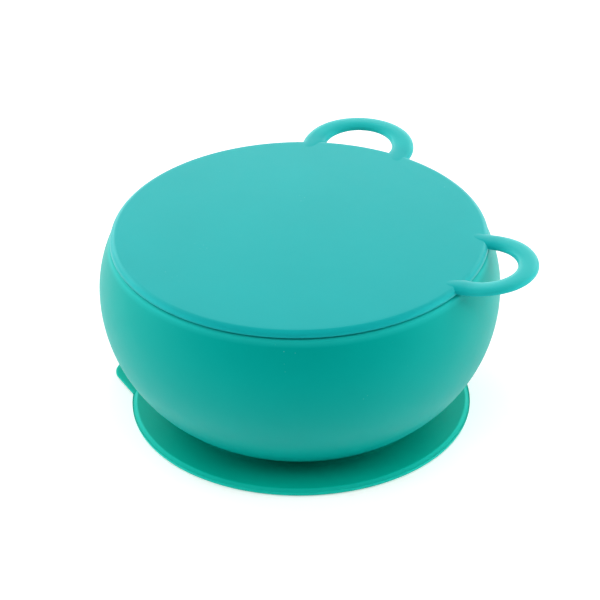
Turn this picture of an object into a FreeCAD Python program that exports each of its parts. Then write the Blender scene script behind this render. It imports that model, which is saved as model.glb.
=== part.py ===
import FreeCAD, Part
import math
import os

from FreeCAD import Vector

# A silicone suction bowl for a small child, with a press-in lid.
#
# The bowl stands on a flat suction foot. The foot is a sealing rim that lies on the table, a
# thin flexible dome inside it, and a pull tab on its edge that breaks the seal. A short neck
# joins the dome to the bowl. The lid is a round panel with a plug ring that fills the bowl's
# mouth, and two finger loops shaped like ears, a quarter turn apart.
#
# Frame: the origin is on the bowl's axis, on the table. +Z is up the axis, +X runs through the
# middle of the right ear loop, +Y through the middle of the left one, and the pull tab is on -X.
# All lengths are in millimetres.

# Bowl
BOWL_RADIUS = 60.0
BELLY_HEIGHT = 42.0
LOWER_CURVE = 44.4
UPPER_CURVE = 35.0
WALL = 3.2
MOUTH_HEIGHT = 57.7
HEEL_RADIUS = 38.0
HEEL_ROUND = 1.0
UNDERSIDE_HEIGHT = 5.2
UNDERSIDE_FLAT = 33.0
FLOOR_HEIGHT = 8.2
FLOOR_CORNER = 25.0
LIP_OUTER_ROUND = 1.6
LIP_INNER_ROUND = 0.7

# Suction foot
FOOT_RADIUS = 51.35
FOOT_EDGE = 2.1
SEAL_WIDTH = 1.9
RIM_INNER_RADIUS = 38.0
RIM_INNER_TOP = 1.9
DOME_THICKNESS = 1.3
DOME_RISE = 1.95
NECK_RADIUS = 30.0
NECK_BOTTOM = 2.0
NECK_RECESS = 1.2
NECK_RECESS_RADIUS = 25.0

# Pull tab, measured outwards from the bowl's axis
TAB_TIP = 59.8
TAB_TIP_ROUND = 7.0
TAB_SIDE_ANGLE = 44.5
TAB_ROOT_FILLET = 1.5
TAB_ROOT_DEPTH = 47.6
TAB_HINGE = 52.4
TAB_THICKNESS = 1.7
TAB_GROUND_GAP = 0.2

# Lid
LID_RADIUS = 56.4
LID_BOTTOM = 58.0
LID_EDGE_TOP = 60.1
LID_CROWN = 0.8
LID_EDGE_ROUND = 1.8
PLUG_GAP = 0.35
PLUG_THICKNESS = 2.7
PLUG_DEPTH = 5.2
PLUG_LEAD_IN = 0.8

# Ear loops, measured outwards from the bowl's axis
EAR_CENTRE = 56.2
EAR_RADIUS = 17.2
EAR_HOLE_CENTRE = 56.9
EAR_HOLE_RADIUS = 10.3
EAR_THICKNESS = 2.3
EAR_ROUND = 0.9
EAR_ROOT = 50.5
EAR_HINGE = 56.8

# Clearance left between two bodies that move against each other
GAP = 0.3


def at(radius, height):
    """A point of a profile, drawn in the XZ plane."""
    return Vector(radius, 0, height)


def line(start, end):
    return Part.LineSegment(start, end).toShape()


def arc(centre, radius, start_angle, end_angle):
    """A profile's arc about a centre, from one angle to the other, in degrees."""
    angles = (start_angle, (start_angle + end_angle) / 2, end_angle)
    points = [
        centre + at(radius * math.cos(math.radians(a)), radius * math.sin(math.radians(a)))
        for a in angles
    ]
    return Part.Arc(*points).toShape()


def polyline(points):
    return [line(a, b) for a, b in zip(points, points[1:])]


def lathe(edges):
    """Turn a closed profile once round the bowl's axis."""
    face = Part.Face(Part.Wire(edges))
    return face.revolve(Vector(0, 0, 0), Vector(0, 0, 1), 360)


def start(edge):
    return edge.valueAt(edge.FirstParameter)


def end(edge):
    return edge.valueAt(edge.LastParameter)


def circles_near(shape, radius, height):
    """The shape's circular edges about the axis with this radius at this height."""
    found = []
    for edge in shape.Edges:
        curve = edge.Curve
        if not isinstance(curve, Part.Circle):
            continue
        if abs(curve.Radius - radius) < 0.01 and abs(curve.Center.z - height) < 0.01:
            found.append(edge)
    return found


def angle_at_height(centre, radius, height):
    return math.degrees(math.asin((height - centre.z) / radius))


def angle_at_radius(centre, radius, from_axis):
    return -math.degrees(math.acos((from_axis - centre.x) / radius))


def save(shape, node):
    if not shape.isValid() or len(shape.Solids) != 1:
        raise RuntimeError(node + " is not one valid solid")
    shape.Solids[0].exportStep("parts/" + node + ".step")


# The bowl's wall is two tangent arcs inside and out, which meet upright at the belly.
LOWER_CENTRE = at(BOWL_RADIUS - LOWER_CURVE, BELLY_HEIGHT)
UPPER_CENTRE = at(BOWL_RADIUS - UPPER_CURVE, BELLY_HEIGHT)
MOUTH_RADIUS = UPPER_CENTRE.x + math.sqrt(
    (UPPER_CURVE - WALL) ** 2 - (MOUTH_HEIGHT - BELLY_HEIGHT) ** 2
)


def bowl_shell():
    inner_lower = LOWER_CURVE - WALL
    inner_upper = UPPER_CURVE - WALL
    heel = angle_at_radius(LOWER_CENTRE, LOWER_CURVE, HEEL_RADIUS)
    outer_mouth = angle_at_height(UPPER_CENTRE, UPPER_CURVE, MOUTH_HEIGHT)
    inner_mouth = angle_at_height(UPPER_CENTRE, inner_upper, MOUTH_HEIGHT)
    floor = angle_at_height(LOWER_CENTRE, inner_lower, FLOOR_HEIGHT)

    outside_low = arc(LOWER_CENTRE, LOWER_CURVE, heel, 0)
    outside_high = arc(UPPER_CENTRE, UPPER_CURVE, 0, outer_mouth)
    inside_high = arc(UPPER_CENTRE, inner_upper, inner_mouth, 0)
    inside_low = arc(LOWER_CENTRE, inner_lower, 0, floor)
    heel_point = start(outside_low)
    floor_point = end(inside_low)
    shell = lathe(
        polyline([at(0, UNDERSIDE_HEIGHT), at(UNDERSIDE_FLAT, UNDERSIDE_HEIGHT), heel_point])
        + [outside_low, outside_high]
        + [line(end(outside_high), start(inside_high))]
        + [inside_high, inside_low]
        + polyline([floor_point, at(0, FLOOR_HEIGHT), at(0, UNDERSIDE_HEIGHT)])
    )
    floor_edge = circles_near(shell, floor_point.x, floor_point.z)
    shell = shell.makeFillet(FLOOR_CORNER, floor_edge)
    heel_edge = circles_near(shell, heel_point.x, heel_point.z)
    shell = shell.makeFillet(HEEL_ROUND, heel_edge)
    outer_lip = circles_near(shell, end(outside_high).x, MOUTH_HEIGHT)
    shell = shell.makeFillet(LIP_OUTER_ROUND, outer_lip)
    inner_lip = circles_near(shell, MOUTH_RADIUS, MOUTH_HEIGHT)
    return shell.makeFillet(LIP_INNER_ROUND, inner_lip)


def neck():
    """The disc between dome and bowl, with a shallow recess that adds room to the cavity."""
    crown = at(0, NECK_BOTTOM + NECK_RECESS)
    side = at(-NECK_RECESS_RADIUS, NECK_BOTTOM)
    recess = Part.Arc(side, crown, at(NECK_RECESS_RADIUS, NECK_BOTTOM))
    first, last = recess.parameter(crown), recess.parameter(at(NECK_RECESS_RADIUS, NECK_BOTTOM))
    ceiling = recess.toShape(first, last)
    return lathe(
        [ceiling]
        + polyline(
            [
                at(NECK_RECESS_RADIUS, NECK_BOTTOM),
                at(NECK_RADIUS, NECK_BOTTOM),
                at(NECK_RADIUS, UNDERSIDE_HEIGHT),
                at(0, UNDERSIDE_HEIGHT),
                crown,
            ]
        )
    )


def suction_dome():
    """The thin cone between sealing rim and neck, which bends when the bowl is pressed down."""
    inner = NECK_RADIUS + GAP
    outer_top = at(RIM_INNER_RADIUS, RIM_INNER_TOP)
    inner_top = at(inner, RIM_INNER_TOP + DOME_RISE)
    drop = at(0, DOME_THICKNESS)
    return lathe(polyline([outer_top, inner_top, inner_top - drop, outer_top - drop, outer_top]))


def tab_side():
    """The pull tab's side line: its direction outwards and its unit normal, in the XY plane."""
    angle = math.radians(TAB_SIDE_ANGLE)
    along = Vector(math.cos(angle), -math.sin(angle), 0)
    normal = Vector(math.sin(angle), math.cos(angle), 0)
    return along, normal


def tab_outline():
    """The pull tab seen from above, with its concave fillets onto the foot's edge.

    It is drawn outwards along +X and turned onto -X by the caller.
    """
    along, normal = tab_side()
    tip_centre = Vector(TAB_TIP - TAB_TIP_ROUND, 0, 0)
    tip_tangent = tip_centre + normal * TAB_TIP_ROUND
    offset = tip_tangent.dot(normal) + TAB_ROOT_FILLET
    reach = math.sqrt((FOOT_RADIUS + TAB_ROOT_FILLET) ** 2 - offset**2)
    fillet_centre = normal * offset + along * reach
    fillet_side = fillet_centre - normal * TAB_ROOT_FILLET
    fillet_foot = fillet_centre * (FOOT_RADIUS / (FOOT_RADIUS + TAB_ROOT_FILLET))
    middle = (fillet_side + fillet_foot) * 0.5 - fillet_centre
    fillet_middle = fillet_centre + middle * (TAB_ROOT_FILLET / middle.Length)
    root = Vector(TAB_ROOT_DEPTH, fillet_foot.y, 0)

    def mirrored(point):
        return Vector(point.x, -point.y, 0)

    upper = [
        line(root, fillet_foot),
        Part.Arc(fillet_foot, fillet_middle, fillet_side).toShape(),
        line(fillet_side, tip_tangent),
    ]
    tip = Part.Arc(tip_tangent, Vector(TAB_TIP, 0, 0), mirrored(tip_tangent)).toShape()
    lower = [
        line(mirrored(tip_tangent), mirrored(fillet_side)),
        Part.Arc(mirrored(fillet_side), mirrored(fillet_middle), mirrored(fillet_foot)).toShape(),
        line(mirrored(fillet_foot), mirrored(root)),
    ]
    return Part.Wire(upper + [tip] + lower + [line(mirrored(root), root)])


def slab(wire, bottom, thickness):
    plate = Part.Face(wire).extrude(Vector(0, 0, thickness))
    plate.translate(Vector(0, 0, bottom))
    return plate


def block(x_from, x_to, half_width, z_from, z_to):
    return Part.makeBox(
        x_to - x_from, 2 * half_width, z_to - z_from, Vector(x_from, -half_width, z_from)
    )


def cross_rod(x, z, radius, y_from, y_to):
    return Part.makeCylinder(radius, y_to - y_from, Vector(x, y_from, z), Vector(0, 1, 0))


def half_turn(shape):
    shape.rotate(Vector(0, 0, 0), Vector(0, 0, 1), 180)
    return shape


def tab_half_width(x):
    """Half the tab's width where its sides are straight."""
    _, normal = tab_side()
    tip_tangent = Vector(TAB_TIP - TAB_TIP_ROUND, 0, 0) + normal * TAB_TIP_ROUND
    return (tip_tangent.dot(normal) - normal.x * x) / normal.y


TAB_MIDDLE = TAB_GROUND_GAP + TAB_THICKNESS / 2
TAB_PLATE = slab(tab_outline(), TAB_GROUND_GAP, TAB_THICKNESS)


def suction_rim():
    """The rim that seals on the table, with the shoulders that carry the pull tab."""
    edge_round = FOOT_EDGE / 2
    edge_centre = at(FOOT_RADIUS - edge_round, edge_round)
    seal_outer = FOOT_RADIUS - edge_round
    inner_bottom = at(RIM_INNER_RADIUS, RIM_INNER_TOP - DOME_THICKNESS)
    ring = lathe(
        polyline([inner_bottom, at(seal_outer - SEAL_WIDTH, 0), at(seal_outer, 0)])
        + [arc(edge_centre, edge_round, -90, 90)]
        + polyline([at(seal_outer, FOOT_EDGE), at(RIM_INNER_RADIUS, RIM_INNER_TOP), inner_bottom])
    )
    shoulders = TAB_PLATE.common(block(0, TAB_HINGE, BOWL_RADIUS, 0, FOOT_EDGE))
    socket = cross_rod(
        TAB_HINGE, TAB_MIDDLE, TAB_THICKNESS / 2 + GAP, -BOWL_RADIUS, BOWL_RADIUS
    )
    return ring.fuse(half_turn(shoulders.cut(socket))).removeSplitter()


def release_tab():
    """The free end of the pull tab, with a round inner edge so that it can swing up."""
    free = TAB_PLATE.common(block(TAB_HINGE, TAB_TIP + GAP, BOWL_RADIUS, 0, FOOT_EDGE))
    half = tab_half_width(TAB_HINGE)
    round_end = cross_rod(TAB_HINGE, TAB_MIDDLE, TAB_THICKNESS / 2, -half, half)
    return half_turn(free.fuse(round_end).removeSplitter())


def ear_plate():
    """One ear loop's full plan, a ring cut off inside the lid's edge, towards +X."""
    base = Vector(0, 0, LID_BOTTOM)
    disc = Part.makeCylinder(EAR_RADIUS, EAR_THICKNESS, base + Vector(EAR_CENTRE, 0, 0))
    hole = Part.makeCylinder(EAR_HOLE_RADIUS, EAR_THICKNESS, base + Vector(EAR_HOLE_CENTRE, 0, 0))
    beyond = EAR_CENTRE + EAR_RADIUS + GAP
    outside = block(EAR_ROOT, beyond, EAR_RADIUS + GAP, LID_BOTTOM, LID_BOTTOM + EAR_THICKNESS)
    return disc.cut(hole).common(outside)


EAR_MIDDLE = LID_BOTTOM + EAR_THICKNESS / 2
EAR_PLATE = ear_plate()


def ear_loop():
    """The free part of an ear loop, towards +X, with round ends so that it can swing up."""
    beyond = EAR_CENTRE + EAR_RADIUS + GAP
    top = LID_BOTTOM + EAR_THICKNESS
    free = EAR_PLATE.common(block(EAR_HINGE, beyond, EAR_RADIUS + GAP, LID_BOTTOM, top))
    curved = [
        edge
        for edge in free.Edges
        if isinstance(edge.Curve, Part.Circle) and abs(edge.Curve.Axis.z) > 0.5
    ]
    loop = free.makeFillet(EAR_ROUND, curved)
    outer = math.sqrt(EAR_RADIUS**2 - (EAR_HINGE - EAR_CENTRE) ** 2)
    inner = math.sqrt(EAR_HOLE_RADIUS**2 - (EAR_HINGE - EAR_HOLE_CENTRE) ** 2)
    for low, high in ((inner, outer), (-outer, -inner)):
        rod = cross_rod(
            EAR_HINGE, EAR_MIDDLE, EAR_THICKNESS / 2, low + EAR_ROUND, high - EAR_ROUND
        )
        loop = loop.fuse(rod)
    return loop.removeSplitter()


def quarter_turned(shape):
    turned = shape.copy()
    turned.rotate(Vector(0, 0, 0), Vector(0, 0, 1), 90)
    return turned


def lid_panel():
    """The domed round panel, with the stubs that carry the two ear loops."""
    round_centre = at(LID_RADIUS - LID_EDGE_ROUND, LID_EDGE_TOP - LID_EDGE_ROUND)
    edge_top = at(round_centre.x, LID_EDGE_TOP)
    crown = at(0, LID_EDGE_TOP + LID_CROWN)
    opposite = at(-edge_top.x, edge_top.z)
    dome = Part.Arc(opposite, crown, edge_top)
    top = dome.toShape(dome.parameter(crown), dome.parameter(edge_top))
    panel = lathe(
        polyline([crown, at(0, LID_BOTTOM), at(LID_RADIUS, LID_BOTTOM)])
        + [line(at(LID_RADIUS, LID_BOTTOM), at(LID_RADIUS, round_centre.z))]
        + [arc(round_centre, LID_EDGE_ROUND, 0, 90), top]
    )
    height = LID_BOTTOM + EAR_THICKNESS
    stubs = EAR_PLATE.common(block(EAR_ROOT, EAR_HINGE, EAR_RADIUS, LID_BOTTOM, height))
    socket = cross_rod(
        EAR_HINGE, EAR_MIDDLE, EAR_THICKNESS / 2 + GAP, -BOWL_RADIUS, BOWL_RADIUS
    )
    # The socket only trims the stubs where they stand clear of the round panel.
    stubs = stubs.cut(socket)
    return panel.fuse([stubs, quarter_turned(stubs)]).removeSplitter()


def lid_plug():
    """The ring under the lid that fills the bowl's mouth, chamfered to find its way in."""
    outer = MOUTH_RADIUS - PLUG_GAP
    inner = outer - PLUG_THICKNESS
    bottom = LID_BOTTOM - PLUG_DEPTH
    corners = [
        at(inner, LID_BOTTOM),
        at(inner, bottom),
        at(outer - PLUG_LEAD_IN, bottom),
        at(outer, bottom + PLUG_LEAD_IN),
        at(outer, LID_BOTTOM),
    ]
    return lathe(polyline(corners + corners[:1]))


def main():
    os.makedirs("parts", exist_ok=True)
    save(bowl_shell(), "bowl_shell")
    save(neck(), "neck")
    save(suction_dome(), "suction_dome")
    save(suction_rim(), "suction_rim")
    save(release_tab(), "release_tab")
    save(lid_panel(), "lid_panel")
    save(lid_plug(), "lid_plug")
    save(ear_loop(), "right_ear_loop")
    save(quarter_turned(ear_loop()), "left_ear_loop")


main()
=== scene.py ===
"""Looks for the silicone suction bowl: fine meshes and moulded-silicone materials on the CAD frame.

Metres throughout. The origin is on the bowl's axis on the table, +Z up, the right ear loop on +X,
the left one on +Y and the pull tab on -X.
"""

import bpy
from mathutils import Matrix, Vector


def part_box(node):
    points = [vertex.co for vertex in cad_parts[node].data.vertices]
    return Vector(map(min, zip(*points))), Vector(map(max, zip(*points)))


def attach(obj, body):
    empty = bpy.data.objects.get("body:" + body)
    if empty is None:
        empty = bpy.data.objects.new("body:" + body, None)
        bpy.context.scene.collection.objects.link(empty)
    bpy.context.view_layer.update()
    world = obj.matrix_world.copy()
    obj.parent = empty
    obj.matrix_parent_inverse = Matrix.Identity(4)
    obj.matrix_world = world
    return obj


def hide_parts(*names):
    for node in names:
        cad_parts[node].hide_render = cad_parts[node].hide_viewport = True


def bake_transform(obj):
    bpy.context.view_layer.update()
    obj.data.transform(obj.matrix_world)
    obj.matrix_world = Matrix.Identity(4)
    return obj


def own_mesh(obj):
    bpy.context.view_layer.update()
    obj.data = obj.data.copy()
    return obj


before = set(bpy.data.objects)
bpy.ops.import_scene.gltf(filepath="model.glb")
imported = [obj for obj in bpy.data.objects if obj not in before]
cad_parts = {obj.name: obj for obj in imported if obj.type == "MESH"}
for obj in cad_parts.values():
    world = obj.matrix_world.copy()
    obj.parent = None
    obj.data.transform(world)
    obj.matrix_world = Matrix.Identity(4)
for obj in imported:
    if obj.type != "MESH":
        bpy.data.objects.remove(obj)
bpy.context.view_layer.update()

import math

import bmesh
import bpy
from mathutils import Matrix, Vector

MM = 0.001

# Meshes: steps round the axis, the angle from which an edge is drawn sharp, and what counts as 0.
ROUND_STEPS = 240
SHARP = math.radians(35)
TINY = 1e-7

# Bowl
BELLY_RADIUS = 60.0 * MM
BELLY_HEIGHT = 42.0 * MM
LOWER_CURVE = 44.4 * MM
UPPER_CURVE = 35.0 * MM
WALL = 3.2 * MM
FLOOR_THICKNESS = 3.0 * MM
FLOOR_CORNER = 25.0 * MM
UNDERSIDE_FLAT = 33.0 * MM
HEEL_RADIUS = 38.0 * MM
HEEL_ROUND = 1.0 * MM
HEEL_TURN = 1.6  # degrees of the lower curve that the heel's round takes up
HEEL_CHORD = 3.0  # degrees of the lower curve that give the heel its outer side
LIP_OUTER_ROUND = 1.6 * MM
LIP_INNER_ROUND = 0.8 * MM
# Painted highlight on the lip: the band at the mouth's top that is painted lighter, from where it
# starts below the mouth to where it is full.
LIP_HIGHLIGHT_DEPTH = 2.4 * MM
LIP_HIGHLIGHT_FULL = 1.0 * MM

# Neck
NECK_ROUND = 0.6 * MM
NECK_HOLLOW = 25.0 * MM
NECK_HOLLOW_RISE = 1.2 * MM

# Foot
RIM_INNER = 38.0 * MM
RIM_INNER_TOP = 1.9 * MM
RIM_SEAL = 1.9 * MM
RIM_BEVEL = 1.5 * MM
RIM_BEVEL_FOOT = 1.0 * MM
RIM_BEVEL_ROUNDS = (0.25 * MM, 0.5 * MM)
# Painted highlight on the rim's bevel: the width over which its lighter colour blends in.
RIM_HIGHLIGHT_FADE = 0.3 * MM
DOME_THICKNESS = 1.3 * MM
TAB_ROOT = 48.0 * MM
TAB_TIP_ROUND = 7.0 * MM
TAB_SIDE_ANGLE = math.radians(44.5)
TAB_ROOT_FILLET = 1.5 * MM
TAB_SQUARENESS = 3.2
TAB_TIP_GAP = 0.004 * MM

# Lid
LID_EDGE_ROUND = 1.9 * MM
LID_SEAT_ROUND = 0.45 * MM
LID_CROWN = 0.8 * MM
PLUG_WIDTH = 2.7 * MM
PLUG_ROUND = 1.0 * MM

# Ear loops. Each runs round its hole to the lid's edge, and its root then sinks into the lid.
EAR_CENTRE = 56.2 * MM
EAR_RADIUS = 17.2 * MM
EAR_HOLE_CENTRE = 56.9 * MM
EAR_HOLE_RADIUS = 10.3 * MM
EAR_TURN = math.radians(98.4)
EAR_SQUARENESS = 2.6
EAR_WAIST = 0.27  # height of the widest line, as a share of the loop's thickness
EAR_UNDERSIDE_GAP = 0.05 * MM
EAR_CROWN_DROP = 0.05 * MM
EAR_CROWN_DROP_FROM = 0.6  # radians round the loop from its tip
EAR_ROOT_LENGTH = 8.0 * MM
EAR_ROOT_NARROWS = 0.5 * MM
EAR_ROOT_SPREADS = 0.5 * MM
EAR_ROOT_SINKS = 0.3 * MM
EAR_RISE = 0.4 * MM
EAR_RISE_FROM = 57.5 * MM
EAR_RISE_TO = 69.0 * MM
# Painted light on the ears: where their lighter colour starts and where it is full, out from the axis.
EAR_LIGHT_FROM = 58.0 * MM
EAR_LIGHT_TO = 62.0 * MM

BOWL_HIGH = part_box("bowl_shell")[1]
NECK_LOW, NECK_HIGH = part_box("neck")
RIM_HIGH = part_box("suction_rim")[1]
DOME_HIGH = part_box("suction_dome")[1]
TAB_LOW, TAB_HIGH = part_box("release_tab")
LID_LOW, LID_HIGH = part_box("lid_panel")
PLUG_LOW, PLUG_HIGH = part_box("lid_plug")
EAR_LOW, EAR_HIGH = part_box("right_ear_loop")


# ---------------------------------------------------------------- mesh helpers


def arc(centre, radius, start, end, steps):
    """Points (r, z) of an arc about a centre, from one angle to the other in degrees."""
    points = []
    for i in range(steps + 1):
        angle = math.radians(start + (end - start) * i / steps)
        points.append((centre[0] + radius * math.cos(angle), centre[1] + radius * math.sin(angle)))
    return points


def run(start, end, steps):
    """Points of a straight run, without its first point."""
    points = []
    for i in range(1, steps + 1):
        share = i / steps
        points.append((start[0] + (end[0] - start[0]) * share, start[1] + (end[1] - start[1]) * share))
    return points


def corner_round(before, corner, after, radius):
    """Points that round a corner between two straight directions."""
    inward = (Vector(before) - Vector(corner)).normalized()
    outward = (Vector(after) - Vector(corner)).normalized()
    half = inward.angle(outward) / 2
    reach = radius / math.tan(half)
    centre = Vector(corner) + (inward + outward).normalized() * (radius / math.sin(half))
    start = Vector(corner) + inward * reach - centre
    end = Vector(corner) + outward * reach - centre
    steps = 8
    points = []
    for i in range(steps + 1):
        direction = start.lerp(end, i / steps).normalized() * radius
        points.append(tuple(centre + direction))
    return points


def superellipse(steps, power):
    """Points of a unit superellipse, for the section of a soft flat strip."""
    points = []
    for i in range(steps):
        angle = 2 * math.pi * i / steps
        c, s = math.cos(angle), math.sin(angle)
        across = math.copysign(abs(c) ** (2 / power), c)
        upward = math.copysign(abs(s) ** (2 / power), s)
        points.append((across, upward))
    return points


def ease(value, low, high):
    """A smooth step from 0 at low to 1 at high."""
    share = min(1, max(0, (value - low) / (high - low)))
    return share * share * (3 - 2 * share)


def skin(bm, rings, closed=False):
    """Faces between each ring of vertices and the next. A ring may be a single vertex."""
    pairs = list(zip(rings, rings[1:]))
    if closed:
        pairs.append((rings[-1], rings[0]))
    for one, other in pairs:
        steps = max(len(one), len(other))
        for i in range(steps):
            j = (i + 1) % steps
            if len(one) == 1:
                bm.faces.new((one[0], other[i], other[j]))
            elif len(other) == 1:
                bm.faces.new((one[i], one[j], other[0]))
            else:
                bm.faces.new((one[i], one[j], other[j], other[i]))


def new_object(name, bm):
    """A smooth-shaded object from a bmesh, with its steep edges drawn sharp."""
    bmesh.ops.recalc_face_normals(bm, faces=bm.faces)
    for edge in bm.edges:
        edge.smooth = not edge.is_manifold or edge.calc_face_angle() < SHARP
    mesh = bpy.data.meshes.new(name)
    bm.to_mesh(mesh)
    bm.free()
    for polygon in mesh.polygons:
        polygon.use_smooth = True
    piece = bpy.data.objects.new(name, mesh)
    bpy.context.collection.objects.link(piece)
    return piece


def lathe(name, profile, closed=False):
    """Turn a profile round the axis. Its ends close on the axis unless it is a closed ring."""
    turns = [2 * math.pi * i / ROUND_STEPS for i in range(ROUND_STEPS)]
    bm = bmesh.new()
    rings = []
    for radius, height in profile:
        if radius < TINY:
            points = [(0, 0, height)]
        else:
            points = [(radius * math.cos(turn), radius * math.sin(turn), height) for turn in turns]
        rings.append([bm.verts.new(point) for point in points])
    skin(bm, rings, closed)
    return new_object(name, bm)


# ---------------------------------------------------------------- bowl and neck


def lip_centre(upper, mouth):
    """Centre of the round on the lip's outer edge, tangent to the wall and to the mouth's plane."""
    height = mouth - LIP_OUTER_ROUND
    reach = math.sqrt((UPPER_CURVE - LIP_OUTER_ROUND) ** 2 - (height - upper[1]) ** 2)
    return (upper[0] + reach, height)


def fillet_to_floor(centre, radius, floor, corner):
    """Centre of the arc that blends a wall arc into a flat floor, and where it leaves the wall."""
    height = floor + corner
    reach = math.sqrt((radius - corner) ** 2 - (height - centre[1]) ** 2)
    angle = math.degrees(math.atan2(height - centre[1], reach))
    return (centre[0] + reach, height), angle


def bowl_outside(lower, upper, mouth, underside):
    """The section from the middle of the underside, round the heel and the wall, to the lip."""
    heel_angle = -math.degrees(math.acos((HEEL_RADIUS - lower[0]) / LOWER_CURVE))
    heel, wall_start = arc(lower, LOWER_CURVE, heel_angle, heel_angle + HEEL_CHORD, 1)
    flat = (UNDERSIDE_FLAT, underside)
    profile = [(0, underside)] + run((0, underside), flat, 12)
    profile += corner_round(flat, heel, wall_start, HEEL_ROUND)
    profile += arc(lower, LOWER_CURVE, heel_angle + HEEL_TURN, 0, 56)
    lip = lip_centre(upper, mouth)
    lip_angle = math.degrees(math.atan2(lip[1] - upper[1], lip[0] - upper[0]))
    profile += arc(upper, UPPER_CURVE, 0, lip_angle, 24)[1:]
    profile += arc(lip, LIP_OUTER_ROUND, lip_angle, 90, 12)[1:]
    return profile


def bowl_inside(lower, upper, mouth, floor, lip_edge):
    """The section from the lip's top, down the inside of the wall, to the middle of the floor."""
    curve = UPPER_CURVE - WALL
    lip_z = mouth - LIP_INNER_ROUND
    lip_angle = math.degrees(math.asin((lip_z - upper[1]) / curve))
    lip_r = upper[0] + curve * math.cos(math.radians(lip_angle)) + LIP_INNER_ROUND
    profile = run(lip_edge, (lip_r, mouth), 3)[:-1]
    profile += arc((lip_r, lip_z), LIP_INNER_ROUND, 90, 200, 9)
    profile += arc(upper, curve, lip_angle - 1, 0, 24)
    fillet, wall_angle = fillet_to_floor(lower, LOWER_CURVE - WALL, floor, FLOOR_CORNER)
    profile += arc(lower, LOWER_CURVE - WALL, 0, wall_angle, 40)[1:]
    profile += arc(fillet, FLOOR_CORNER, wall_angle, -90, 18)[1:]
    profile += run((fillet[0], floor), (0, floor), 12)
    return profile


def make_bowl():
    """The bowl's wall, lip and floor in one turned piece."""
    lower = (BELLY_RADIUS - LOWER_CURVE, BELLY_HEIGHT)
    upper = (BELLY_RADIUS - UPPER_CURVE, BELLY_HEIGHT)
    mouth = BOWL_HIGH[2]
    underside = NECK_HIGH[2]
    profile = bowl_outside(lower, upper, mouth, underside)
    profile += bowl_inside(lower, upper, mouth, underside + FLOOR_THICKNESS, profile[-1])
    bowl = lathe("bowl_wall", profile)
    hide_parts("bowl_shell")
    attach(bowl, "bowl")
    return bowl


def make_neck():
    """The disc under the bowl, with a shallow hollow in the middle of its underside."""
    radius = NECK_HIGH[0]
    low, high = NECK_LOW[2], NECK_HIGH[2]
    steps = 25
    profile = []
    for i in range(steps):
        share = i / steps
        profile.append((NECK_HOLLOW * share, low + NECK_HOLLOW_RISE * (1 - share**2)))
    profile += run((NECK_HOLLOW, low), (radius - NECK_ROUND, low), 6)
    profile += arc((radius - NECK_ROUND, low + NECK_ROUND), NECK_ROUND, -90, 0, 6)[1:]
    profile += run((radius, low + NECK_ROUND), (radius, high), 6)
    profile += run((radius, high), (0, high), 8)
    neck = lathe("neck_disc", profile)
    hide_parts("neck")
    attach(neck, "bowl")
    return neck


# ---------------------------------------------------------------- foot and pull tab


def make_rim():
    """The sealing rim: flat seal, half-round edge and a broad soft bevel on its upper side."""
    edge = RIM_HIGH[0]
    top = RIM_HIGH[2]
    half_round = top / 2
    seal = edge - half_round
    inner_bottom = (RIM_INNER, RIM_INNER_TOP - DOME_THICKNESS)
    inner_top = (RIM_INNER, RIM_INNER_TOP)
    bevel_low = (edge, RIM_BEVEL_FOOT)
    bevel_high = (edge - RIM_BEVEL, top)
    low_round, high_round = RIM_BEVEL_ROUNDS
    profile = [inner_bottom]
    profile += run(inner_bottom, (seal - RIM_SEAL, 0), 6)
    profile += run((seal - RIM_SEAL, 0), (seal, 0), 4)
    profile += arc((seal, half_round), half_round, -90, 0, 10)[1:]
    profile += corner_round(profile[-1], bevel_low, bevel_high, low_round)
    profile += corner_round(bevel_low, bevel_high, inner_top, high_round)
    profile += run(profile[-1], inner_top, 8)
    profile += run(inner_top, inner_bottom, 4)[:-1]
    rim = lathe("suction_rim_ring", profile, closed=True)
    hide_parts("suction_rim")
    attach(rim, "foot")
    return rim


def make_dome():
    """The slim cone between the neck and the rim; on the real bowl it flattens as the bowl is pressed
    down.
    """
    inner = (NECK_HIGH[0], DOME_HIGH[2])
    outer = (RIM_INNER, RIM_INNER_TOP)
    top = [outer] + run(outer, inner, 20)
    bottom = [(radius, height - DOME_THICKNESS) for radius, height in reversed(top)]
    dome = lathe("suction_dome_cone", top + bottom, closed=True)
    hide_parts("suction_dome")
    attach(dome, "foot")
    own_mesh(dome)
    return dome


def tab_half_width(reach, tip, foot):
    """Half the tab's width at a distance from the axis: fillet, straight side, round tip."""
    normal = (math.sin(TAB_SIDE_ANGLE), math.cos(TAB_SIDE_ANGLE))
    along = (math.cos(TAB_SIDE_ANGLE), -math.sin(TAB_SIDE_ANGLE))
    tip_centre = tip - TAB_TIP_ROUND
    side = TAB_TIP_ROUND + normal[0] * tip_centre
    tangent = tip_centre + TAB_TIP_ROUND * normal[0]
    if reach >= tangent:
        return math.sqrt(max(0, TAB_TIP_ROUND**2 - (reach - tip_centre) ** 2))
    offset = side + TAB_ROOT_FILLET
    slide = math.sqrt((foot + TAB_ROOT_FILLET) ** 2 - offset**2)
    fillet = (normal[0] * offset + along[0] * slide, normal[1] * offset + along[1] * slide)
    fillet_side = fillet[0] - normal[0] * TAB_ROOT_FILLET
    if reach >= fillet_side:
        return (side - normal[0] * reach) / normal[1]
    fillet_foot = fillet[0] * foot / (foot + TAB_ROOT_FILLET)
    reach = max(reach, fillet_foot)
    return fillet[1] - math.sqrt(TAB_ROOT_FILLET**2 - (reach - fillet[0]) ** 2)


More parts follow.
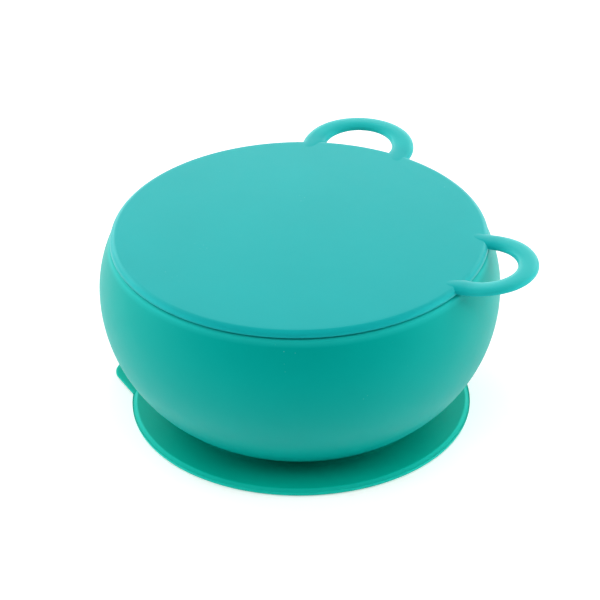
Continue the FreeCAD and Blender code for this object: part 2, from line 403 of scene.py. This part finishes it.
def make_tab():
    """The whole pull tab, rooted inside the rim, as a soft flat strip closed at its round tip."""
    tip = -TAB_LOW[0]
    foot = RIM_HIGH[0]
    middle = (TAB_LOW[2] + TAB_HIGH[2]) / 2
    half_thick = (TAB_HIGH[2] - TAB_LOW[2]) / 2
    section = superellipse(48, TAB_SQUARENESS)
    steps = 56
    bm = bmesh.new()
    rings = [[bm.verts.new((-TAB_ROOT, 0, middle))]]
    for i in range(steps + 1):
        share = math.sin(math.pi / 2 * i / steps)
        reach = TAB_ROOT + (tip - TAB_TIP_GAP - TAB_ROOT) * share
        width = tab_half_width(reach, tip, foot)
        left = tip - reach
        thick = half_thick * math.sqrt(max(0, 1 - max(0, 1 - left / half_thick) ** 2))
        rings.append([bm.verts.new((-reach, width * a, middle + thick * b)) for a, b in section])
    rings.append([bm.verts.new((-tip, 0, middle))])
    skin(bm, rings)
    tab = new_object("pull_tab", bm)
    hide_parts("release_tab")
    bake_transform(tab)
    return tab


# ---------------------------------------------------------------- lid and plug


def make_lid():
    """The round panel: flat underside, rounded edge and a slightly domed top."""
    edge = max(-LID_LOW[0], -LID_LOW[1])
    bottom = LID_LOW[2]
    crown = LID_HIGH[2]
    seat = edge - LID_SEAT_ROUND
    shoulder = edge - LID_EDGE_ROUND
    edge_centre = (shoulder, crown - LID_CROWN - LID_EDGE_ROUND)
    profile = [(0, bottom)] + run((0, bottom), (seat, bottom), 24)
    profile += arc((seat, bottom + LID_SEAT_ROUND), LID_SEAT_ROUND, -90, 0, 6)[1:]
    profile += arc(edge_centre, LID_EDGE_ROUND, 0, 88, 16)
    steps = 60
    for i in range(1, steps + 1):
        share = 1 - i / steps
        profile.append((shoulder * share, crown - LID_CROWN * share**2))
    lid = lathe("lid_disc", profile)
    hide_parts("lid_panel")
    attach(lid, "lid")
    return lid


def make_plug():
    """The ring under the lid that fills the mouth, with its lower edges rounded."""
    outer = PLUG_HIGH[0]
    inner = outer - PLUG_WIDTH
    low, high = PLUG_LOW[2], PLUG_HIGH[2]
    round_z = low + PLUG_ROUND
    profile = [(outer, high)] + run((outer, high), (outer, round_z), 8)
    profile += arc((outer - PLUG_ROUND, round_z), PLUG_ROUND, 0, -90, 8)[1:]
    profile += arc((inner + PLUG_ROUND, round_z), PLUG_ROUND, -90, -180, 8)
    profile += run((inner, round_z), (inner, high), 8)
    profile += run((inner, high), (outer, high), 4)[:-1]
    plug = lathe("lid_plug_ring", profile, closed=True)
    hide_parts("lid_plug")
    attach(plug, "lid")
    return plug


# ---------------------------------------------------------------- ear loops


def ray_to_circle(origin, angle, centre, radius):
    """Distance along a ray in the XY plane to a circle centred on the X axis."""
    c = math.cos(angle)
    shift = origin - centre
    return -shift * c + math.sqrt((shift * c) ** 2 - shift**2 + radius**2)


def ear_stations(crown):
    """Half an ear loop as (middle, half width, direction across, crown height).

    It runs from the loop's tip round the hole to the lid's edge, then dives into the lid.
    """
    stations = []
    steps = 59
    for i in range(steps + 1):
        angle = EAR_TURN * i / steps
        far = ray_to_circle(EAR_HOLE_CENTRE, angle, EAR_CENTRE, EAR_RADIUS)
        middle, half = (EAR_HOLE_RADIUS + far) / 2, (far - EAR_HOLE_RADIUS) / 2
        across = (math.cos(angle), math.sin(angle))
        point = (EAR_HOLE_CENTRE + middle * across[0], middle * across[1])
        drop = EAR_CROWN_DROP * ease(angle, EAR_CROWN_DROP_FROM, EAR_TURN)
        stations.append((point, half, across, crown - drop))
    (x, y), half, _, edge_crown = stations[-1]
    steps = 24
    for i in range(1, steps + 1):
        share = i / steps
        angle = EAR_TURN + (math.radians(90) - EAR_TURN) * ease(share, 0, 0.5)
        across = (math.cos(angle), math.sin(angle))
        point = (x - EAR_ROOT_LENGTH * share, y + EAR_ROOT_SPREADS * ease(share, 0, 0.8))
        width = half - EAR_ROOT_NARROWS * share
        stations.append((point, width, across, edge_crown - EAR_ROOT_SINKS * share**3))
    return stations


def make_ear(name, node, quarter_turns):
    """An ear loop: a soft arched strip round a hole, whose roots sink into the lid."""
    bottom = EAR_LOW[2] + EAR_UNDERSIDE_GAP
    crown = EAR_HIGH[2]
    half_loop = ear_stations(crown)
    whole = [(station, -1) for station in reversed(half_loop[1:])]
    whole += [(station, 1) for station in half_loop]
    section = superellipse(48, EAR_SQUARENESS)
    bm = bmesh.new()
    rings = []
    for (point, half, across, top), side in whole:
        waist = bottom + EAR_WAIST * (top - bottom)
        ring = []
        for a, b in section:
            height = waist + (top - waist if b >= 0 else waist - bottom) * b
            x = point[0] + half * a * across[0]
            y = point[1] + half * a * across[1]
            lift = EAR_RISE * ease(math.hypot(x, y), EAR_RISE_FROM, EAR_RISE_TO)
            ring.append(bm.verts.new((x, y * side, height + lift)))
        rings.append(ring)
    skin(bm, rings)
    bm.faces.new(rings[0])
    bm.faces.new(rings[-1])
    ear = new_object(name, bm)
    turn = Matrix.Rotation(math.radians(90 * quarter_turns), 4, "Z")
    ear.data.transform(turn)
    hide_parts(node)
    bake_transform(ear)
    return ear


# ---------------------------------------------------------------- materials

ROUGHNESS = 0.46
SILICONE_IOR = 1.41
REFLECTION_TINT = (0.0, 1.0, 0.95, 1)
BLOOM_ROUGHNESS = 0.35
SUBSURFACE_WEIGHT = 0.10
SUBSURFACE_REACH = (0.4, 1.0, 0.9)
SUBSURFACE_SCALE = 3.0 * MM
LINT_COLOUR = (0.35, 0.72, 0.68, 1)
LINT_STRENGTH = 0.16
GRAIN_STRENGTH = 0.10
GRAIN_DEPTH = 0.05 * MM

# How uneven the colour and the roughness are, and each pattern's scale in repeats per metre.
UNEVEN = 0.02
PIGMENT_SCALE = 35
LINT_SCALE = 420
LINT_PATCH_SCALE = 60
SATIN_SCALE = 180
GRAIN_SCALE = 2600

# Body colour, mirror reflection and grazing bloom of each moulding.
BOWL_SKIN = ((0.0, 0.360, 0.318), 0.26, 0.0)
FOOT_SKIN = ((0.0, 0.455, 0.350), 0.08, 0.0)
LID_SKIN = ((0.005, 0.402, 0.404), 0.60, 0.07)

# Painted light: the lip's top band and the rim's bevel are painted lighter as painted highlights, and
# the ears outward of the lid's edge are painted lighter as painted light falling on and through the
# slim strips. Each is told by its distance out from the axis, or up from the table.
OUTWARD = (1, 1, 0)
UPWARD = (0, 0, 1)
MOUTH = BOWL_HIGH[2]
BEVEL = RIM_HIGH[0] - RIM_BEVEL
LIP_PAINTED_HIGHLIGHT = (UPWARD, MOUTH - LIP_HIGHLIGHT_DEPTH, MOUTH - LIP_HIGHLIGHT_FULL, (0.008, 0.450, 0.407))
RIM_PAINTED_HIGHLIGHT = (OUTWARD, BEVEL, BEVEL + RIM_HIGHLIGHT_FADE, (0.008, 0.537, 0.434))
EAR_PAINTED_LIGHT = (OUTWARD, EAR_LIGHT_FROM, EAR_LIGHT_TO, (0.016, 0.462, 0.452))


class Graph:
    """A material's node tree, with a short call for each kind of node that the skins use."""

    def __init__(self, material):
        self.nodes = material.node_tree.nodes
        self.links = material.node_tree.links
        self.place = self.nodes.new("ShaderNodeTexCoord").outputs["Object"]

    def noise(self, scale, detail, rough=0.5):
        """Noise over the object's own coordinates."""
        node = self.nodes.new("ShaderNodeTexNoise")
        node.inputs["Scale"].default_value = scale
        node.inputs["Detail"].default_value = detail
        node.inputs["Roughness"].default_value = rough
        self.links.new(self.place, node.inputs["Vector"])
        return node.outputs["Fac"]

    def ramp(self, source, low, high, to_low, to_high):
        """A straight ramp from one range of values to another."""
        node = self.nodes.new("ShaderNodeMapRange")
        node.inputs["From Min"].default_value = low
        node.inputs["From Max"].default_value = high
        node.inputs["To Min"].default_value = to_low
        node.inputs["To Max"].default_value = to_high
        self.links.new(source, node.inputs["Value"])
        return node.outputs["Result"]

    def mix(self, factor, first, second):
        """A mix of two colours. Each is a fixed colour or another node's output."""
        node = self.nodes.new("ShaderNodeMix")
        node.data_type = "RGBA"
        self.links.new(factor, node.inputs["Factor"])
        for socket, colour in (("A", first), ("B", second)):
            if isinstance(colour, tuple):
                node.inputs[socket].default_value = colour
            else:
                self.links.new(colour, node.inputs[socket])
        return node.outputs["Result"]

    def product(self, first, second):
        """The product of two values."""
        node = self.nodes.new("ShaderNodeMath")
        node.operation = "MULTIPLY"
        self.links.new(first, node.inputs[0])
        self.links.new(second, node.inputs[1])
        return node.outputs["Value"]

    def distance(self, directions):
        """Distance from the origin, counting only the given directions."""
        part = self.nodes.new("ShaderNodeVectorMath")
        part.operation = "MULTIPLY"
        part.inputs[1].default_value = directions
        self.links.new(self.place, part.inputs[0])
        length = self.nodes.new("ShaderNodeVectorMath")
        length.operation = "LENGTH"
        self.links.new(part.outputs["Vector"], length.inputs[0])
        return length.outputs["Value"]


def body_colour(graph, colour):
    """The moulding's colour, a little uneven as pigment is, with sparse pale specks of lint."""
    darker = (*[channel * (1 - UNEVEN) for channel in colour], 1)
    lighter = (*[channel * (1 + UNEVEN) for channel in colour], 1)
    pigment = graph.ramp(graph.noise(PIGMENT_SCALE, 3), 0.3, 0.7, 0, 1)
    body = graph.mix(pigment, darker, lighter)
    cells = graph.nodes.new("ShaderNodeTexVoronoi")
    cells.inputs["Scale"].default_value = LINT_SCALE
    graph.links.new(graph.place, cells.inputs["Vector"])
    speck = graph.ramp(cells.outputs["Distance"], 0.05, 0.12, 1, 0)
    patch = graph.ramp(graph.noise(LINT_PATCH_SCALE, 2), 0.60, 0.72, 0, LINT_STRENGTH)
    return graph.mix(graph.product(speck, patch), body, LINT_COLOUR)


def silicone(name, skin_values, painted_light=None):
    """Moulded silicone: soft body colour, satin skin and a fine matt grain."""
    colour, gloss, bloom = skin_values
    material = bpy.data.materials.new(name)
    material.use_nodes = True
    shader = material.node_tree.nodes["Principled BSDF"]
    shader.inputs["IOR"].default_value = SILICONE_IOR
    shader.inputs["Specular IOR Level"].default_value = gloss
    shader.inputs["Specular Tint"].default_value = REFLECTION_TINT
    shader.inputs["Sheen Weight"].default_value = bloom
    shader.inputs["Sheen Roughness"].default_value = BLOOM_ROUGHNESS
    shader.inputs["Subsurface Weight"].default_value = SUBSURFACE_WEIGHT
    shader.inputs["Subsurface Radius"].default_value = SUBSURFACE_REACH
    shader.inputs["Subsurface Scale"].default_value = SUBSURFACE_SCALE

    graph = Graph(material)
    body = body_colour(graph, colour)
    # Painted light: an optional lighter band by distance, which paints the highlight on the lip and
    # rim, or the light on the ears.
    if painted_light:
        directions, light_from, light_to, lit_colour = painted_light
        light_blend = graph.ramp(graph.distance(directions), light_from, light_to, 0, 1)
        body = graph.mix(light_blend, body, (*lit_colour, 1))
    graph.links.new(body, shader.inputs["Base Color"])

    low, high = ROUGHNESS - UNEVEN, ROUGHNESS + UNEVEN
    satin = graph.ramp(graph.noise(SATIN_SCALE, 4), 0.3, 0.7, low, high)
    graph.links.new(satin, shader.inputs["Roughness"])
    grain = graph.nodes.new("ShaderNodeBump")
    grain.inputs["Strength"].default_value = GRAIN_STRENGTH
    grain.inputs["Distance"].default_value = GRAIN_DEPTH
    graph.links.new(graph.noise(GRAIN_SCALE, 3, 0.6), grain.inputs["Height"])
    graph.links.new(grain.outputs["Normal"], shader.inputs["Normal"])
    return material


def paint(piece, material):
    """Give a piece one material."""
    piece.data.materials.clear()
    piece.data.materials.append(material)


# ---------------------------------------------------------------- floor, light and camera

FLOOR_HALF_SIZE = 6.0
FLOOR_COLOUR = (0.86, 0.86, 0.86, 1)
FLOOR_GLOW = 0.38
FLOOR_GLOW_COLOUR = (1, 0.86, 0.87, 1)
SKY_STRENGTH = 0.10
LIGHT_AIM = Vector((0, 0, 35 * MM))

CAMERA_TURN = math.radians(19.0)
CAMERA_RISE = math.radians(31.45)
CAMERA_ROLL = math.radians(-0.63)
CAMERA_DISTANCE = 1.25
CAMERA_LENS = 249.9
CAMERA_SENSOR = 36
CAMERA_AIM_SIDE = -0.02 * MM
CAMERA_AIM_HEIGHT = 36.54 * MM

# Each softbox: turn from the camera's side and rise in degrees, distance, width, height, watts.
SOFTBOXES = {
    "back_softbox": (180, 13, 1.4, 1.8, 0.5, 8.6),
    "back_left_softbox": (-135, 32, 1.2, 0.8, 0.8, 6.9),
    "back_right_softbox": (135, 32, 1.2, 0.8, 0.8, 5.4),
    "left_softbox": (-88, 22, 1.1, 0.8, 0.8, 6.4),
    "right_softbox": (88, 22, 1.1, 0.8, 0.8, 7.0),
    "front_softbox": (0, 66, 1.2, 0.9, 0.6, 5.1),
}


def toward(azimuth, rise):
    """Direction from the bowl at an azimuth from -Y and a rise above the floor, in radians."""
    level = math.cos(rise)
    return Vector((level * math.sin(azimuth), -level * math.cos(azimuth), math.sin(rise)))


def make_floor():
    """A plain pale floor that glows slightly, so that it looks white with hardly a shadow."""
    bm = bmesh.new()
    bmesh.ops.create_grid(bm, x_segments=1, y_segments=1, size=FLOOR_HALF_SIZE)
    floor = new_object("floor", bm)
    material = bpy.data.materials.new("pale_floor")
    material.use_nodes = True
    shader = material.node_tree.nodes["Principled BSDF"]
    shader.inputs["Base Color"].default_value = FLOOR_COLOUR
    shader.inputs["Emission Color"].default_value = FLOOR_GLOW_COLOUR
    shader.inputs["Emission Strength"].default_value = FLOOR_GLOW
    shader.inputs["Roughness"].default_value = 0.9
    shader.inputs["Specular IOR Level"].default_value = 0.1
    paint(floor, material)


def make_lights():
    """The soft boxes round the bowl, and a dim even sky."""
    for name, (turn, rise, distance, width, height, watts) in SOFTBOXES.items():
        data = bpy.data.lights.new(name, "AREA")
        data.shape = "RECTANGLE"
        data.size, data.size_y = width, height
        data.energy = watts
        lamp = bpy.data.objects.new(name, data)
        place = toward(CAMERA_TURN + math.radians(turn), math.radians(rise)) * distance
        lamp.location = place
        lamp.rotation_euler = (LIGHT_AIM - place).to_track_quat("-Z", "Y").to_euler()
        bpy.context.collection.objects.link(lamp)
    world = bpy.data.worlds.new("pale_studio")
    world.use_nodes = True
    sky = world.node_tree.nodes["Background"]
    sky.inputs["Color"].default_value = (1, 1, 1, 1)
    sky.inputs["Strength"].default_value = SKY_STRENGTH
    bpy.context.scene.world = world


def make_camera():
    """A long-lens camera that looks down on the bowl, rolled very slightly."""
    data = bpy.data.cameras.new("camera")
    data.sensor_width = CAMERA_SENSOR
    data.lens = CAMERA_LENS
    data.clip_start, data.clip_end = 0.05, 20
    camera = bpy.data.objects.new("camera", data)
    sideways = Vector((math.cos(CAMERA_TURN), math.sin(CAMERA_TURN), 0))
    target = sideways * CAMERA_AIM_SIDE + Vector((0, 0, CAMERA_AIM_HEIGHT))
    back = toward(CAMERA_TURN, CAMERA_RISE)
    look = (-back).to_track_quat("-Z", "Y").to_matrix().to_4x4()
    roll = Matrix.Rotation(CAMERA_ROLL, 4, "Z")
    camera.location = target + back * CAMERA_DISTANCE
    camera.rotation_mode = "QUATERNION"
    camera.rotation_quaternion = (look @ roll).to_quaternion()
    bpy.context.collection.objects.link(camera)
    bpy.context.scene.camera = camera


def main():
    # The wall, rim and ear skins carry painted light: lighter bands that paint the lip and rim
    # highlights and the light on the ears.
    wall_painted_highlight_silicone = silicone("wall_painted_lip_highlight_skin", BOWL_SKIN, LIP_PAINTED_HIGHLIGHT)
    bowl_silicone = silicone("bowl_silicone_skin", BOWL_SKIN)
    foot_silicone = silicone("foot_silicone_skin", FOOT_SKIN)
    rim_painted_highlight_silicone = silicone("rim_painted_highlight_skin", FOOT_SKIN, RIM_PAINTED_HIGHLIGHT)
    lid_silicone = silicone("lid_silicone_skin", LID_SKIN)
    ear_painted_light_silicone = silicone("ear_painted_light_skin", LID_SKIN, EAR_PAINTED_LIGHT)
    paint(make_bowl(), wall_painted_highlight_silicone)
    paint(make_neck(), bowl_silicone)
    paint(make_rim(), rim_painted_highlight_silicone)
    paint(make_dome(), foot_silicone)
    paint(make_tab(), foot_silicone)
    paint(make_lid(), lid_silicone)
    paint(make_plug(), lid_silicone)
    paint(make_ear("right_ear_strip", "right_ear_loop", 0), ear_painted_light_silicone)
    paint(make_ear("left_ear_strip", "left_ear_loop", 1), ear_painted_light_silicone)
    make_floor()
    make_lights()
    make_camera()
    bpy.context.scene.view_settings.view_transform = "Standard"


main()
